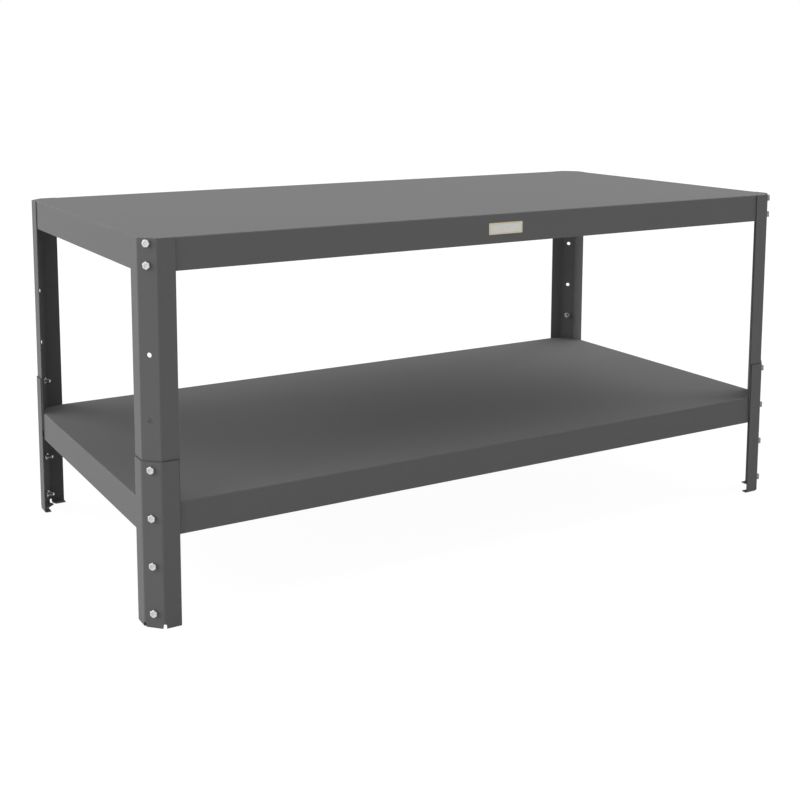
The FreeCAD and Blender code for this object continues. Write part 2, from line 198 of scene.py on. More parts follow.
class CoatSettings(bpy.types.PropertyGroup):
    """The powder coat on the decks and the legs."""

    colour: colour_setting("Colour", "Powder coat", (0.160, 0.160, 0.160))
    roughness: share_setting("Roughness", "Mean roughness of the coat", 0.8)
    specular: share_setting("Specular", "Strength of the reflections at the surface", 0.25)
    wear: share_setting("Wear", "Rub marks on the work surfaces and thin coat on edges", 0.5)
    # Strength of the painted shade, with some dust, in the steps, on the cut ends and in the
    # corners.
    shade_and_dust: share_setting("Grime", "Dust in the steps between sheets", 0.6)
    peel_size: length_setting("Peel size", "Width of one dimple of the orange peel", 1.6 * MM)
    peel_depth: length_setting("Peel depth", "Depth of the orange peel", 0.012 * MM)


class FastenerSettings(bpy.types.PropertyGroup):
    """The zinc-plated bolts and nuts."""

    colour: colour_setting("Colour", "Zinc plate", (0.74, 0.74, 0.74))
    haze_colour: colour_setting("Haze", "Clouds in the zinc plate", (0.68, 0.68, 0.66))
    metallic: share_setting("Metallic", "Share of metal in the reflections", 0.6)
    roughness: share_setting("Roughness", "Roughness of the zinc plate without marks", 0.42)
    hex_width: length_setting("Across flats", "Hexagon of heads and nuts", HEX_WIDTH)
    head_height: length_setting("Head height", "Height of a bolt's head", HEAD_HEIGHT)
    bolt_length: length_setting("Bolt length", "Under the head", BOLT_LENGTH)
    shank_radius: length_setting("Shank radius", "Crest of the thread", FIRST_BOLT["round_radius"])
    plain_length: length_setting("Plain length", "Shank without thread", 1.0 * MM)
    nut_height: length_setting("Nut height", "Height of a nut", NUT_HEIGHT)
    nut_bore: length_setting("Nut bore", "Radius of a nut's bore", FIRST_NUT["round_radius"])
    recess_radius: length_setting("Recess radius", "Shallow dish in a head's top", 2.9 * MM)
    recess_depth: length_setting("Recess depth", "Shallow dish in a head's top", 0.4 * MM)
    thread_pitch: length_setting("Thread pitch", "From crest to crest", 1.27 * MM)
    thread_depth: length_setting("Thread depth", "From crest to root", 0.69 * MM)


class LabelSettings(bpy.types.PropertyGroup):
    """The blank label on the front."""

    border_colour: colour_setting("Border", "Straw-coloured band", (0.80, 0.735, 0.50))
    field_colour: colour_setting("Field", "Bare middle of the label", (0.84, 0.83, 0.78))
    metallic: share_setting("Metallic", "Share of metal in the reflections", 0.2)
    roughness: share_setting("Roughness", "Least roughness of the foil", 0.34)
    border_width: length_setting("Border width", "Width of the band", 2.6 * MM)
    corner_radius: length_setting("Corner radius", "Corners of the label", 1.2 * MM)
    edge_bevel: length_setting("Edge bevel", "Soft edge of the label", 0.12 * MM)


class StudioSettings(bpy.types.PropertyGroup):
    """Floor, lights and camera."""

    floor_size: length_setting("Floor size", "Side of the square floor", 60.0)
    floor_bounce: share_setting("Floor bounce", "Share of light that the floor sends back", 0.55)
    floor_glow: share_setting("Floor glow", "White that the floor shows of itself", 0.96)
    floor_shade: share_setting("Floor shade", "How much light and shadow the floor shows", 0.1)
    sky: light_setting("Sky", "Even light from all round", 0.395)
    left_lamp: light_setting("Left lamp", "Light from the left", 0.92)
    back_lamp: light_setting("Back lamp", "Light from the left and the back", 1.7)
    right_lamp: light_setting("Right lamp", "Light from above on the right", 1.24)
    lamp_spread: bpy.props.FloatProperty(
        name="Lamp spread", description="Apparent width of a lamp",
        default=math.radians(50), subtype="ANGLE",
    )
    camera_place: bpy.props.FloatVectorProperty(
        name="Camera", description="Where the camera stands",
        default=(-1.26539, -2.05652, 0.86352), subtype="TRANSLATION", unit="LENGTH",
    )
    camera_heading: bpy.props.FloatProperty(
        name="Heading", description="Turn of the view to the right of +Y",
        default=0.518, subtype="ANGLE",
    )
    camera_dip: bpy.props.FloatProperty(
        name="Dip", description="Turn of the view below the horizon",
        default=0.1303, subtype="ANGLE",
    )
    focal_length: bpy.props.FloatProperty(
        name="Focal length", description="In millimetres", default=55.796, min=1, unit="CAMERA",
    )
    shift_x: bpy.props.FloatProperty(name="Shift X", description="Lens shift", default=0.04)
    shift_y: bpy.props.FloatProperty(name="Shift Y", description="Lens shift", default=-0.215)


class TableSettings(bpy.types.PropertyGroup):
    """All settings of the table."""

    coat: bpy.props.PointerProperty(type=CoatSettings, name="Coat", description="Powder coat")
    fasteners: bpy.props.PointerProperty(
        type=FastenerSettings, name="Fasteners", description="Bolts and nuts"
    )
    label: bpy.props.PointerProperty(type=LabelSettings, name="Label", description="Label")
    studio: bpy.props.PointerProperty(type=StudioSettings, name="Studio", description="Studio")


# ---------------------------------------------------------------- node trees


class Wire:
    """An output socket that adds Math nodes when Python does arithmetic on it."""

    def __init__(self, graph, socket):
        self.graph = graph
        self.socket = socket

    def beside(self, name):
        """Another output of the node that this one belongs to."""
        return Wire(self.graph, self.socket.node.outputs[name])

    def math(self, operation, *operands):
        numbered = dict(enumerate(operands))
        return self.graph.add("ShaderNodeMath", {"operation": operation}, numbered)

    def __add__(self, other):
        return self.math("ADD", self, other)

    def __sub__(self, other):
        return self.math("SUBTRACT", self, other)

    def __rsub__(self, other):
        return self.math("SUBTRACT", other, self)

    def __mul__(self, other):
        return self.math("MULTIPLY", self, other)

    def __truediv__(self, other):
        return self.math("DIVIDE", self, other)

    def __rtruediv__(self, other):
        return self.math("DIVIDE", other, self)

    def __mod__(self, other):
        return self.math("FLOORED_MODULO", self, other)

    def __neg__(self):
        return self.math("MULTIPLY", self, -1)

    def __abs__(self):
        return self.math("ABSOLUTE", self)

    __radd__ = __add__
    __rmul__ = __mul__

    def cos(self):
        return self.math("COSINE", self)

    def sin(self):
        return self.math("SINE", self)

    def sign(self):
        return self.math("SIGN", self)

    def least(self, other):
        return self.math("MINIMUM", self, other)

    def most(self, other):
        return self.math("MAXIMUM", self, other)

    def above(self, other):
        return self.math("GREATER_THAN", self, other)


class Graph:
    """A node tree under construction."""

    def __init__(self, tree):
        self.tree = tree
        tree.nodes.clear()

    def add(self, kind, settings=None, values=None, output=0):
        """A node of a type, with its settings, then its sockets' values or links.

        A socket that takes several links has a list of them. The result is one output.
        """
        node = self.tree.nodes.new(kind)
        for name, setting in (settings or {}).items():
            if name == "index_switch_items":
                for _ in range(setting - len(node.index_switch_items)):
                    node.index_switch_items.new()
            else:
                setattr(node, name, setting)
        for name, source in (values or {}).items():
            socket = node.inputs[name]
            if isinstance(source, Wire):
                self.tree.links.new(source.socket, socket)
            elif socket.is_multi_input:
                for wire in source:
                    self.tree.links.new(wire.socket, socket)
            else:
                socket.default_value = source
        return Wire(self, node.outputs[output]) if node.outputs else None

    def parts(self, vector):
        """The three numbers of a vector."""
        x = self.add("ShaderNodeSeparateXYZ", values={0: vector})
        return x, x.beside(1), x.beside(2)

    def vector(self, x, y, z):
        return self.add("ShaderNodeCombineXYZ", values={0: x, 1: y, 2: z})


class Shader(Graph):
    """The node tree of a material or of the world."""

    # Places of a colour Mix node's sockets among those that it has for every type of data.
    MIX_FACTOR, MIX_FIRST, MIX_SECOND, MIX_RESULT = 0, 6, 7, 2

    def smooth(self, value, start, end):
        """0 below start and 1 above end, with a soft change between them."""
        return self.add(
            "ShaderNodeMapRange",
            {"interpolation_type": "SMOOTHSTEP"},
            {"Value": value, "From Min": start, "From Max": end},
        )

    def noise(self, place, scale, detail=2.0):
        """Random values between 0 and 1, with a number of blots to the metre."""
        return self.add(
            "ShaderNodeTexNoise", values={"Vector": place, "Scale": scale, "Detail": detail}
        )

    def streaks(self, place, scales, turn=0.0):
        """Noise with its own scale along each axis, turned about Z."""
        values = {"Vector": place, "Rotation": (0, 0, turn), "Scale": scales}
        return self.noise(self.add("ShaderNodeMapping", values=values), scale=1.0)

    def mix_colours(self, share, first, second, blend="MIX"):
        """first where share is 0 and second, blended with it, where share is 1."""
        return self.add(
            "ShaderNodeMix",
            {"data_type": "RGBA", "blend_type": blend},
            {self.MIX_FACTOR: share, self.MIX_FIRST: first, self.MIX_SECOND: second},
            self.MIX_RESULT,
        )

    def shade(self, colour, brightness):
        """A colour made lighter or darker by a number that varies."""
        factors = self.add(
            "ShaderNodeCombineColor", values={0: brightness, 1: brightness, 2: brightness}
        )
        return self.mix_colours(1.0, colour, factors, "MULTIPLY")

    def bump(self, height, depth):
        return self.add("ShaderNodeBump", values={"Height": height, "Distance": depth})

    def object_place(self):
        return self.add("ShaderNodeTexCoord", output="Object")

    def seen_directly(self):
        """1 for rays that show a surface as it is: from the camera, a mirror or glass."""
        camera = self.add("ShaderNodeLightPath", output="Is Camera Ray")
        mirrored = camera.beside("Is Glossy Ray") + camera.beside("Is Transmission Ray")
        return (camera + mirrored).least(1.0)

    def surface(self, values):
        shader = self.add("ShaderNodeBsdfPrincipled", values=values)
        self.add("ShaderNodeOutputMaterial", values={"Surface": shader})


def new_material(name):
    material = bpy.data.materials.new(name)
    material.use_nodes = True
    return material, Shader(material.node_tree)


def opaque(colour):
    return (*colour, 1.0)


def grey(brightness):
    return opaque((brightness,) * 3)


# ---------------------------------------------------------------- materials

# Noise varies about this value.
NOISE_MEAN = 0.5

# Widths over which the coat is thin along an edge.
BEND_WEAR = 2.6 * MM
LEG_TOP_WEAR = 1.6 * MM
SLEEVE_RIM_WEAR = 0.8 * MM
FOOT_WEAR = 3.0 * MM

# How far inside a deck's side its bend ends, and how far below a sleeve's top its rim lies.
BEND_INSET = 2.0 * MM
SLEEVE_RIM_INSET = 0.9 * MM

# A sleeve's rim is less worn than the other edges.
SLEEVE_RIM_SHARE = 0.6

# Painted shade with some dust lies in the step above a sleeve, from just below the sleeve's top,
# and in the shelf's corners, where it sets in between two distances from the line that cuts off a
# corner.
STEP_START = -0.3 * MM
STEP_WIDTH = 2.6 * MM
CORNER_REACH = 30 * MM
CORNER_SHADE = (-10 * MM, 12 * MM)
FAINT_SHADE = 0.35

# Parts of a face's direction between which it comes to face up, outward or along X.
UPWARD = (0.9, 0.99)
OUTWARD = (-0.3, -0.1)
ALONG_X = (0.9, 0.95)

# Values of the noise between which the coat's patches, long marks and specks and the zinc
# plate's dull spots set in.
PATCHES = (0.48, 0.7)
MARKS = (0.66, 0.74)
SPECKS = (0.42, 0.62)
DULL_SPOTS = (0.5, 0.75)

# A post's two sides along the long flanges lie within this depth of its outside.
SHEET_DEPTH = 6 * MM

# Width of the soft change where a height or a side is picked out.
SLACK = 1.0 * MM

# Relief in the zinc plate and the label.
MARK_DEPTH = 0.004 * MM
GROOVE_DEPTH = 0.02 * MM
GROOVE_WIDTH = 0.3 * MM


def coat_material(name, settings, edge_nearness, shade_nearness):
    """Matt powder coat: orange peel, faint clouds, rub marks, thin edges and painted shade with
    dust.

    edge_nearness gives 1 on a worn edge and the other function 1 where shade is painted, from the
    shader, the place and the direction in which the surface faces.
    """
    material, shader = new_material(name)
    place = shader.object_place()
    facing = shader.parts(shader.add("ShaderNodeNewGeometry", output="Normal"))
    clouds = shader.noise(place, scale=7.0, detail=3.0) - NOISE_MEAN
    grain = shader.noise(place, scale=900.0, detail=1.0) - NOISE_MEAN
    speckle = shader.noise(place, scale=60.0, detail=3.0)
    peel = shader.noise(place, scale=1 / settings.peel_size, detail=1.0)

    upward = shader.smooth(facing[2], *UPWARD)
    patches = shader.smooth(shader.noise(place, scale=3.0), *PATCHES)
    long_marks = shader.streaks(place, scales=(5, 260, 5), turn=0.5)
    cross_marks = shader.streaks(place, scales=(240, 9, 5), turn=0.2)
    scuffed = shader.smooth(long_marks.most(cross_marks), *MARKS) * patches * upward
    rubbed = edge_nearness(shader, place, facing) * shader.smooth(speckle, *SPECKS)
    worn = (scuffed + rubbed) * settings.wear
    # Painted shade, mottled like dust, darkens the steps, cut ends and corners that these pick
    # out.
    painted_shade = shade_nearness(shader, place, facing) * (0.75 + speckle * 0.5) * settings.shade_and_dust

    brightness = 1.0 + clouds * 0.10 + grain * 0.10 + worn * 0.10 - painted_shade
    roughness = settings.roughness + clouds * 0.12 + grain * 0.08 - worn * 0.20
    shader.surface({
        "Base Color": shader.shade(opaque(settings.colour), brightness),
        "Roughness": roughness,
        "Specular IOR Level": settings.specular,
        "Normal": shader.bump(peel, settings.peel_depth),
    })
    return material


def nearness(shader, distance, width):
    """1 where a distance is nought, and 0 beyond a width."""
    return 1.0 - shader.smooth(distance, 0.0, width)


def deck_edges(shader, place, _facing):
    """1 along the bends between a deck's top and its flanges."""
    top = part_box("top_deck")[1]
    shelf_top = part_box("lower_shelf")[1].z
    x, y, z = shader.parts(place)
    outside = (abs(x) - (top.x - BEND_INSET)).most(abs(y) - (top.y - BEND_INSET))
    near_side = shader.smooth(outside, -SLACK / 2, SLACK / 2)
    drop = abs(top.z - z).least(abs(shelf_top - z))
    return near_side * nearness(shader, drop, BEND_WEAR)


def deck_grime(shader, place, _facing):
    """A part of 1 on the shelf's corners in front of the legs, where shade is painted."""
    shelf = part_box("lower_shelf")[1]
    x, y, z = shader.parts(place)
    corner = abs(x) + abs(y) - (shelf.x + shelf.y - CORNER_REACH)
    on_shelf = nearness(shader, abs(shelf.z - z), SLACK)
    return on_shelf * shader.smooth(corner, *CORNER_SHADE) * FAINT_SHADE


def post_edges(shader, place, _facing):
    """1 along the upper and lower ends of the legs, and less on top of the sleeves."""
    leg_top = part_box(UPPER_LEGS[0])[1].z
    sleeve_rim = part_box(SLEEVES[0])[1].z - SLEEVE_RIM_INSET
    z = shader.parts(place)[2]
    top = nearness(shader, abs(leg_top - z), LEG_TOP_WEAR)
    rim = nearness(shader, abs(sleeve_rim - z), SLEEVE_RIM_WEAR) * SLEEVE_RIM_SHARE
    foot = nearness(shader, abs(z), FOOT_WEAR)
    return top.most(foot).most(rim)


def post_grime(shader, place, facing):
    """Painted shade: 1 outside in the step on top of a sleeve, and on the ends beside the long
    flanges.
    """
    low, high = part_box(SLEEVES[0])
    x, y, z = shader.parts(place)
    outward_x, outward_y = facing[0] * x.sign(), facing[1] * y.sign()
    above = z - high.z
    # Shade is painted in the step above a sleeve, strongest on the flanges' sides.
    step = shader.smooth(above, STEP_START, 0.0) * nearness(shader, above, STEP_WIDTH)
    outside = shader.smooth(outward_x + outward_y, *OUTWARD)
    on_side = abs(abs(facing[0]) - abs(facing[1]))
    sheet_start = abs(low.y) - SHEET_DEPTH
    long_sheets = shader.smooth(abs(y), sheet_start, sheet_start + SLACK)
    # The ends of the long flanges that face the middle of the table are painted dark as shade.
    sheet_end = shader.smooth(-outward_x, *ALONG_X) * long_sheets
    return (step * outside * (FAINT_SHADE + on_side * (1.0 - FAINT_SHADE))).most(sheet_end)


def zinc_material(settings):
    """Zinc plate with faint clouds and fine marks, bright where a face's painted light is 1."""
    material, shader = new_material("zinc_plate")
    place = shader.object_place()
    # Each band of faces carries painted light and shade: dark sides and threads, light chamfers.
    tone = shader.add("ShaderNodeAttribute", {"attribute_name": Solid.TONE}, output="Fac")
    clouds = shader.noise(place, scale=260.0, detail=3.0)
    marks = shader.streaks(place, scales=(700, 700, 4500))
    dull = shader.smooth(shader.noise(place, scale=420.0), *DULL_SPOTS)
    colour = shader.mix_colours(clouds, opaque(settings.colour), opaque(settings.haze_colour))
    roughness = settings.roughness + clouds * 0.10 + marks * 0.06 + dull * 0.08 - tone * 0.12
    shader.surface({
        "Base Color": shader.shade(colour, tone * (1.03 - dull * 0.12)),
        "Metallic": settings.metallic,
        "Roughness": roughness,
        "Normal": shader.bump(marks + clouds, MARK_DEPTH),
    })
    return material


def label_material(settings):
    """Satin foil: a straw-coloured band round a brushed silver field."""
    material, shader = new_material("label_foil")
    low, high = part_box("label_plate")
    centre, half = (low + high) / 2, (high - low) / 2
    place = shader.object_place()
    x, _, z = shader.parts(place)
    inward = (half.x - abs(x - centre.x)).least(half.z - abs(z - centre.z))
    past_border = inward - settings.border_width
    field = shader.smooth(past_border, -GROOVE_WIDTH / 2, GROOVE_WIDTH / 2)
    groove = nearness(shader, abs(past_border), GROOVE_WIDTH)
    brushed = shader.streaks(place, scales=(90, 90, 9000))
    stains = shader.noise(place, scale=180.0, detail=3.0)
    border_colour, field_colour = opaque(settings.border_colour), opaque(settings.field_colour)
    colour = shader.mix_colours(field, border_colour, field_colour)
    uneven = (brushed - NOISE_MEAN) * 0.16 + (stains - NOISE_MEAN) * 0.14
    shader.surface({
        # Painted shade darkens the groove round the field.
        "Base Color": shader.shade(colour, 1.0 + uneven - groove * 0.18),
        "Metallic": settings.metallic,
        "Roughness": settings.roughness + stains * 0.18,
        "Normal": shader.bump(brushed * 0.4 - groove, GROOVE_DEPTH),
    })
    return material


# ---------------------------------------------------------------- geometry trees


class Solid(Graph):
    """A geometry tree with named sizes, whose result is one solid at each point."""

    TURN = "turn"
    TONE = "tone"

    def __init__(self, name, sizes):
        super().__init__(bpy.data.node_groups.new(name, "GeometryNodeTree"))
        face = self.tree.interface
        face.new_socket("Geometry", in_out="INPUT", socket_type="NodeSocketGeometry")
        face.new_socket("Material", in_out="INPUT", socket_type="NodeSocketMaterial")
        for size_name, size in sizes.items():
            socket = face.new_socket(size_name, in_out="INPUT", socket_type="NodeSocketFloat")
            socket.default_value = size
        face.new_socket("Geometry", in_out="OUTPUT", socket_type="NodeSocketGeometry")
        group = self.add("NodeGroupInput")
        inputs = ("Geometry", "Material", *sizes)
        self.inputs = {input_name: group.beside(input_name) for input_name in inputs}

    def pick(self, index, choices):
        """The choice whose place in the list is index."""
        return self.add(
            "GeometryNodeIndexSwitch",
            {"data_type": "FLOAT", "index_switch_items": len(choices)},
            {"Index": index, **{str(number): choice for number, choice in enumerate(choices)}},
        )

    def lathe(self, rows, outline, tone):
        """A grid wrapped round Z, with as many rows of points.

        outline gives radius and height from turn and row, and the third function gives the
        painted light and shade of a band of faces from the row in its middle.
        """
        grid = self.add(
            "GeometryNodeMeshGrid",
            values={"Size X": 1.0, "Size Y": 1.0, "Vertices X": COLUMNS + 1, "Vertices Y": rows},
        )
        # The grid runs from -0.5 to 0.5 both ways, and backwards round Z so that it faces out.
        x, y, _ = self.parts(self.add("GeometryNodeInputPosition"))
        turn = x * -FULL_TURN
        row = (y + 0.5) * (rows - 1)
        light_painted_grid = self.add(
            "GeometryNodeStoreNamedAttribute",
            {"data_type": "FLOAT", "domain": "FACE"},
            {"Geometry": grid, "Name": self.TONE, "Value": tone(row)},
        )
        radius, height = outline(turn, row)
        place = self.vector(radius * turn.cos(), radius * turn.sin(), height)
        return self.add("GeometryNodeSetPosition", values={"Geometry": light_painted_grid, "Position": place})

    def whole(self, row):
        return self.add("FunctionNodeFloatToInt", {"rounding_mode": "ROUND"}, {0: row})

    def close(self, *surfaces):
        """One closed surface from several that meet."""
        joined = self.add("GeometryNodeJoinGeometry", values={0: surfaces[::-1]})
        return self.add(
            "GeometryNodeMergeByDistance", values={"Geometry": joined, "Distance": SEAM}
        )

    def finish(self, solid):
        """Put the solid at every point, turned as the points say."""
        turn = self.add(
            "GeometryNodeInputNamedAttribute", {"data_type": "FLOAT_VECTOR"}, {"Name": self.TURN}
        )
        rotation = self.add("FunctionNodeEulerToRotation", values={0: turn})
        placed = self.add(
            "GeometryNodeInstanceOnPoints",
            values={"Points": self.inputs["Geometry"], "Instance": solid, "Rotation": rotation},
        )
        real = self.add("GeometryNodeRealizeInstances", values={"Geometry": placed})
        painted = self.add(
            "GeometryNodeSetMaterial",
            values={"Geometry": real, "Material": self.inputs["Material"]},
        )
        self.add("NodeGroupOutput", values={"Geometry": painted})
        return self.tree


def hexagon_radius(turn, width):
    """Distance from the axis to the side of a hexagon with a corner at turn 0."""
    return width / 2 / (turn % SIXTH_TURN - HALF_FLAT).cos()


# The crown is the flat circle that a 30 degree chamfer leaves on a hexagon, as a share of its
# width. The lead-in at a nut's bore is a share of the bore, and the floor of the dish in a
# head is a share of the dish.
CHAMFER_SLOPE = math.tan(math.radians(30))
CHAMFER_SHARE = 0.475
LEAD_SHARE = 0.12
DISH_FLOOR_SHARE = 0.8

# Faces round a fastener, and rows of faces for each turn of its thread.
COLUMNS = 36
THREAD_ROWS = 5

# Points nearer than this are one, and edges sharper than this are drawn sharp.
SEAM = 0.002 * MM
SHARP_EDGE = math.radians(28)

# Painted light and shade of each band of faces, from the middle of a head outward and from a nut's
# bore round its outside: sides, dishes, bores and threads are painted dark as shade, chamfers
# light as highlights, and the darker bands are also rougher.
HEAD_PAINTED_LIGHT = [0.88, 0.6, 0.97, 0.88, 0.52, 0.5]
NUT_PAINTED_LIGHT = [0.5, 0.7, 0.9, 0.65, 1.1, 0.75, 0.5, 0.3]
THREAD_PAINTED_SHADE = 0.35


def bolt_tree(sizes):
    """Hexagon bolt along Z: its head stands on z = 0 and its thread points down."""
    tree = Solid("hex_bolt", sizes)
    width, head, length = (tree.inputs[n] for n in ("Across flats", "Head height", "Length"))
    shank = tree.inputs["Shank radius"]
    pitch, depth = tree.inputs["Thread pitch"], tree.inputs["Thread depth"]
    recess, dish = tree.inputs["Recess radius"], tree.inputs["Recess depth"]

    def head_outline(turn, row):
        ring = tree.whole(row)
        crown = width * CHAMFER_SHARE
        side = hexagon_radius(turn, width)
        shoulder = head - (side - crown) * CHAMFER_SLOPE
        dish_floor = recess * DISH_FLOOR_SHARE
        low = head - dish
        radius = tree.pick(ring, [0.0, dish_floor, recess, crown, side, side, shank])
        height = tree.pick(ring, [low, low, head, head, shoulder, 0.0, 0.0])
        return radius, height

    def head_tone(row):
        return tree.pick(tree.whole(row - 0.5), HEAD_PAINTED_LIGHT)

    def shank_outline(turn, row):
        """The thread begins and ends over one pitch, and its last rows close its end."""
        down = row * pitch / THREAD_ROWS
        along = down.least(length)
        wave = abs((along / pitch + turn / FULL_TURN) % 1.0 - 0.5) * 2
        begun = ((along - tree.inputs["Plain length"]) / pitch).most(0.0).least(1.0)
        taper = ((along - length) / pitch + 1.0).most(0.0) * depth
        radius = shank - (wave * depth * begun).most(taper)
        past_end = (down - length).above(pitch * 0.5)
        return radius * (1.0 - past_end), -along

    def shank_tone(row):
        past_end = (row * pitch / THREAD_ROWS).above(length)
        return THREAD_PAINTED_SHADE + past_end * (1.0 - THREAD_PAINTED_SHADE)

    rows = int(sizes["Length"] / sizes["Thread pitch"] * THREAD_ROWS) + THREAD_ROWS + 1
    return tree.finish(
        tree.close(
            tree.lathe(len(HEAD_PAINTED_LIGHT) + 1, head_outline, head_tone),
            tree.lathe(rows, shank_outline, shank_tone),
        )
    )


def nut_tree(sizes):
    """Hexagon nut along Z: it bears on z = 0 and its body lies below."""
    tree = Solid("hex_nut", sizes)
    width, height, bore = (tree.inputs[n] for n in ("Across flats", "Height", "Bore radius"))

    def outline(turn, row):
        ring = tree.whole(row)
        crown = width * CHAMFER_SHARE
        side = hexagon_radius(turn, width)
        fall = (side - crown) * CHAMFER_SLOPE
        lead = bore * LEAD_SHARE
        mouth = bore + lead
        foot = -height
        radius = tree.pick(ring, [bore, mouth, crown, side, side, crown, mouth, bore, bore])
        level = tree.pick(
            ring, [-lead, 0.0, 0.0, -fall, foot + fall, foot, foot, foot + lead, -lead]
        )
        return radius, level

    def tone(row):
        return tree.pick(tree.whole(row - 0.5), NUT_PAINTED_LIGHT)

    return tree.finish(tree.close(tree.lathe(len(NUT_PAINTED_LIGHT) + 1, outline, tone)))


def repeat_at(name, tree, sizes, material, fasteners, seats):
    """Run a geometry tree on the fasteners' places and keep its result as a plain mesh."""
    mesh = bpy.data.meshes.new(name)
    mesh.from_pydata(seats, [], [])
    turns = mesh.attributes.new(Solid.TURN, "FLOAT_VECTOR", "POINT")
    for item, fastener in zip(turns.data, fasteners):
        item.vector = fastener["turned"].to_euler()
    piece = bpy.data.objects.new(name, mesh)
    bpy.context.scene.collection.objects.link(piece)
    modifier = piece.modifiers.new(tree.name, "NODES")
    modifier.node_group = tree
    inputs = {**sizes, "Material": material}
    for socket in tree.interface.items_tree:
        if socket.in_out == "INPUT" and socket.name in inputs:
            modifier[socket.identifier] = inputs[socket.name]
    evaluated = piece.evaluated_get(bpy.context.evaluated_depsgraph_get())
    plain = bpy.data.meshes.new_from_object(evaluated)
    plain.name = name
    piece.modifiers.clear()
    piece.data = plain
    plain.shade_smooth()
    plain.set_sharp_from_angle(angle=SHARP_EDGE)
    return piece


# ---------------------------------------------------------------- operators


def paint(names, material):
    for name in names:
        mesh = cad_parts[name].data
        mesh.materials.clear()
        mesh.materials.append(material)


class TABLE_OT_coat_decks(bpy.types.Operator):
    """Coat the top deck and the lower shelf"""

    bl_idname = "table.coat_decks"
    bl_label = "Coat the decks"

    def execute(self, context):
        chosen = context.scene.table.coat
        paint(DECKS, coat_material("deck_coat", chosen, deck_edges, deck_grime))
        return {"FINISHED"}


class TABLE_OT_coat_legs(bpy.types.Operator):
    """Coat the upper legs, the sleeves and the channels"""

    bl_idname = "table.coat_legs"
    bl_label = "Coat the legs"

    def execute(self, context):
        chosen = context.scene.table.coat
        material = coat_material("leg_coat", chosen, post_edges, post_grime)
        paint(UPPER_LEGS + SLEEVES + CHANNELS, material)
        return {"FINISHED"}


class TABLE_OT_add_bolts(bpy.types.Operator):
    """Replace the plain CAD bolts by threaded ones with chamfered heads"""

    bl_idname = "table.add_bolts"
    bl_label = "Add the bolts"

    def execute(self, context):
        chosen = context.scene.table.fasteners
        sizes = {
            "Across flats": chosen.hex_width,
            "Head height": chosen.head_height,
            "Length": chosen.bolt_length,
            "Shank radius": chosen.shank_radius,
            "Plain length": chosen.plain_length,
            "Thread pitch": chosen.thread_pitch,
            "Thread depth": chosen.thread_depth,
            "Recess radius": chosen.recess_radius,
            "Recess depth": chosen.recess_depth,
        }
        bolts = measure_fasteners(BOLT_NODES)
        seats = [seat_of(bolt, bolt["hexagon_inner_end"]) for bolt in bolts]
        piece = repeat_at(
            "hex_bolts", bolt_tree(sizes), sizes, zinc_material(chosen), bolts, seats
        )
        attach(piece, BODY)
        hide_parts(*BOLT_NODES)
        return {"FINISHED"}


class TABLE_OT_add_nuts(bpy.types.Operator):
    """Replace the plain CAD nuts by chamfered ones"""

    bl_idname = "table.add_nuts"
    bl_label = "Add the nuts"

    def execute(self, context):
        chosen = context.scene.table.fasteners
        sizes = {
            "Across flats": chosen.hex_width,
            "Height": chosen.nut_height,
            "Bore radius": chosen.nut_bore,
        }
        nuts = measure_fasteners(NUT_NODES)
        seats = [seat_of(nut, nut["outer_end"]) for nut in nuts]
        piece = repeat_at("hex_nuts", nut_tree(sizes), sizes, zinc_material(chosen), nuts, seats)
        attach(piece, BODY)
        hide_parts(*NUT_NODES)
        return {"FINISHED"}


class TABLE_OT_add_label(bpy.types.Operator):
    """Replace the plain CAD label by a round-cornered one with a band, left bare"""

    bl_idname = "table.add_label"
    bl_label = "Add the label"

    CORNER_STEPS = 6

    def execute(self, context):
        chosen = context.scene.table.label
        low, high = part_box("label_plate")
        radius = chosen.corner_radius
        shape = bmesh.new()
        outline = []
        for quarter, (side_x, side_z) in enumerate(((1, 1), (-1, 1), (-1, -1), (1, -1))):
            centre_x = (high.x if side_x > 0 else low.x) - side_x * radius
            centre_z = (high.z if side_z > 0 else low.z) - side_z * radius
            for step in range(self.CORNER_STEPS + 1):
                turn = (quarter + step / self.CORNER_STEPS) * QUARTER_TURN
                x = centre_x + radius * math.cos(turn)
                z = centre_z + radius * math.sin(turn)
                outline.append(shape.verts.new((x, high.y, z)))
        back = shape.faces.new(outline)
        raised = bmesh.ops.extrude_face_region(shape, geom=[back])["geom"]
        front = [item for item in raised if isinstance(item, bmesh.types.BMVert)]
        bmesh.ops.translate(shape, vec=(0, low.y - high.y, 0), verts=front)
        rim = [
            edge for edge in shape.edges
            if all(abs(vert.co.y - low.y) < SEAM for vert in edge.verts)
        ]
        bmesh.ops.bevel(
            shape, geom=rim, offset=chosen.edge_bevel, segments=2, profile=0.5, affect="EDGES"
        )
        bmesh.ops.recalc_face_normals(shape, faces=shape.faces)
        mesh = bpy.data.meshes.new("blank_label")
        shape.to_mesh(mesh)
        shape.free()
        mesh.materials.append(label_material(chosen))
        piece = bpy.data.objects.new("blank_label", mesh)
        context.scene.collection.objects.link(piece)
        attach(piece, BODY)
        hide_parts("label_plate")
        return {"FINISHED"}


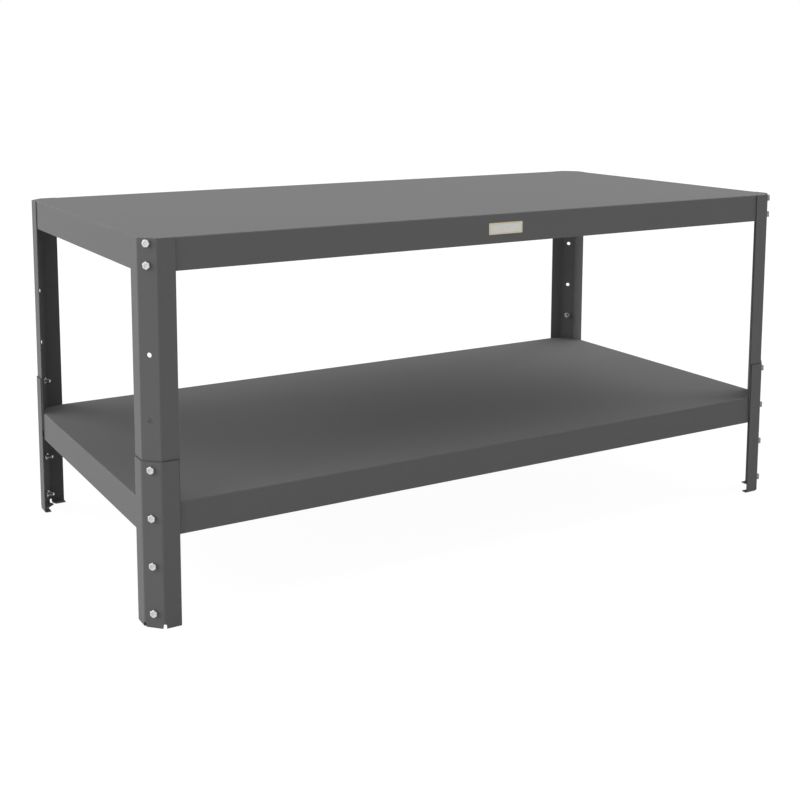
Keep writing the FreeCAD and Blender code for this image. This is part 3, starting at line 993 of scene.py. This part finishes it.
class TABLE_OT_set_stage(bpy.types.Operator):
    """Set up the floor, the lights and the camera"""

    bl_idname = "table.set_stage"
    bl_label = "Set the stage"

    # Degrees from +X towards +Y, and degrees above the floor.
    LAMPS = {"left_lamp": (180, 20), "back_lamp": (135, 20), "right_lamp": (0, 45)}

    def execute(self, context):
        chosen = context.scene.table.studio
        self.add_floor(context, chosen)
        self.add_lights(context, chosen)
        self.add_camera(context, chosen)
        context.scene.view_settings.view_transform = "Standard"
        return {"FINISHED"}

    def add_floor(self, context, chosen):
        """A white floor that shows white of itself and still takes a soft shadow."""
        half = chosen.floor_size / 2
        mesh = bpy.data.meshes.new("floor")
        corners = [(-half, -half, 0), (half, -half, 0), (half, half, 0), (-half, half, 0)]
        mesh.from_pydata(corners, [], [(0, 1, 2, 3)])
        material, shader = new_material("floor_paper")
        plain = shader.add("ShaderNodeBsdfDiffuse", values={"Color": grey(chosen.floor_bounce)})
        shaded = shader.add("ShaderNodeBsdfDiffuse", values={"Color": grey(chosen.floor_shade)})
        glow = shader.add(
            "ShaderNodeEmission", values={"Color": WHITE, "Strength": chosen.floor_glow}
        )
        seen = shader.add("ShaderNodeAddShader", values={0: shaded, 1: glow})
        surface = shader.add(
            "ShaderNodeMixShader", values={0: shader.seen_directly(), 1: plain, 2: seen}
        )
        shader.add("ShaderNodeOutputMaterial", values={"Surface": surface})
        mesh.materials.append(material)
        floor = bpy.data.objects.new("floor", mesh)
        context.scene.collection.objects.link(floor)

    def add_lights(self, context, chosen):
        """Even light from all round and three broad lamps."""
        world = bpy.data.worlds.new("studio")
        world.use_nodes = True
        shader = Shader(world.node_tree)
        seen = shader.seen_directly()
        strength = seen + (1.0 - seen) * chosen.sky
        sky = shader.add("ShaderNodeBackground", values={"Color": WHITE, "Strength": strength})
        shader.add("ShaderNodeOutputWorld", values={"Surface": sky})
        context.scene.world = world
        for name, angles in self.LAMPS.items():
            lamp = bpy.data.lights.new(name, "SUN")
            lamp.energy = getattr(chosen, name)
            lamp.angle = chosen.lamp_spread
            piece = bpy.data.objects.new(name, lamp)
            heading, height = map(math.radians, angles)
            piece.rotation_euler = (QUARTER_TURN - height, 0, QUARTER_TURN + heading)
            context.scene.collection.objects.link(piece)

    def add_camera(self, context, chosen):
        lens = bpy.data.cameras.new("camera")
        lens.lens = chosen.focal_length
        lens.shift_x = chosen.shift_x
        lens.shift_y = chosen.shift_y
        camera = bpy.data.objects.new("camera", lens)
        camera.location = chosen.camera_place
        camera.rotation_euler = (QUARTER_TURN - chosen.camera_dip, 0, -chosen.camera_heading)
        context.scene.collection.objects.link(camera)
        context.scene.camera = camera


class TABLE_PT_panel(bpy.types.Panel):
    """Sizes, colours and steps of the assembly table"""

    bl_idname = "TABLE_PT_panel"
    bl_label = "Assembly table"
    bl_space_type = "VIEW_3D"
    bl_region_type = "UI"
    bl_category = "Table"

    def draw(self, context):
        table = context.scene.table
        for group in (table.coat, table.fasteners, table.label, table.studio):
            box = self.layout.box()
            box.label(text=group.bl_rna.name)
            for name in group.__annotations__:
                box.prop(group, name)
        for step in STEPS:
            self.layout.operator(step.bl_idname)


STEPS = (
    TABLE_OT_coat_decks,
    TABLE_OT_coat_legs,
    TABLE_OT_add_bolts,
    TABLE_OT_add_nuts,
    TABLE_OT_add_label,
    TABLE_OT_set_stage,
)
CLASSES = (
    CoatSettings,
    FastenerSettings,
    LabelSettings,
    StudioSettings,
    TableSettings,
    *STEPS,
    TABLE_PT_panel,
)


def register():
    for entry in CLASSES:
        bpy.utils.register_class(entry)
    bpy.types.Scene.table = bpy.props.PointerProperty(
        type=TableSettings, name="Table", description="Settings of the assembly table"
    )


def unregister():
    del bpy.types.Scene.table
    for entry in reversed(CLASSES):
        bpy.utils.unregister_class(entry)


def main():
    register()
    bpy.ops.table.coat_decks()
    bpy.ops.table.coat_legs()
    bpy.ops.table.add_bolts()
    bpy.ops.table.add_nuts()
    bpy.ops.table.add_label()
    bpy.ops.table.set_stage()


if __name__ == "__main__":
    main()
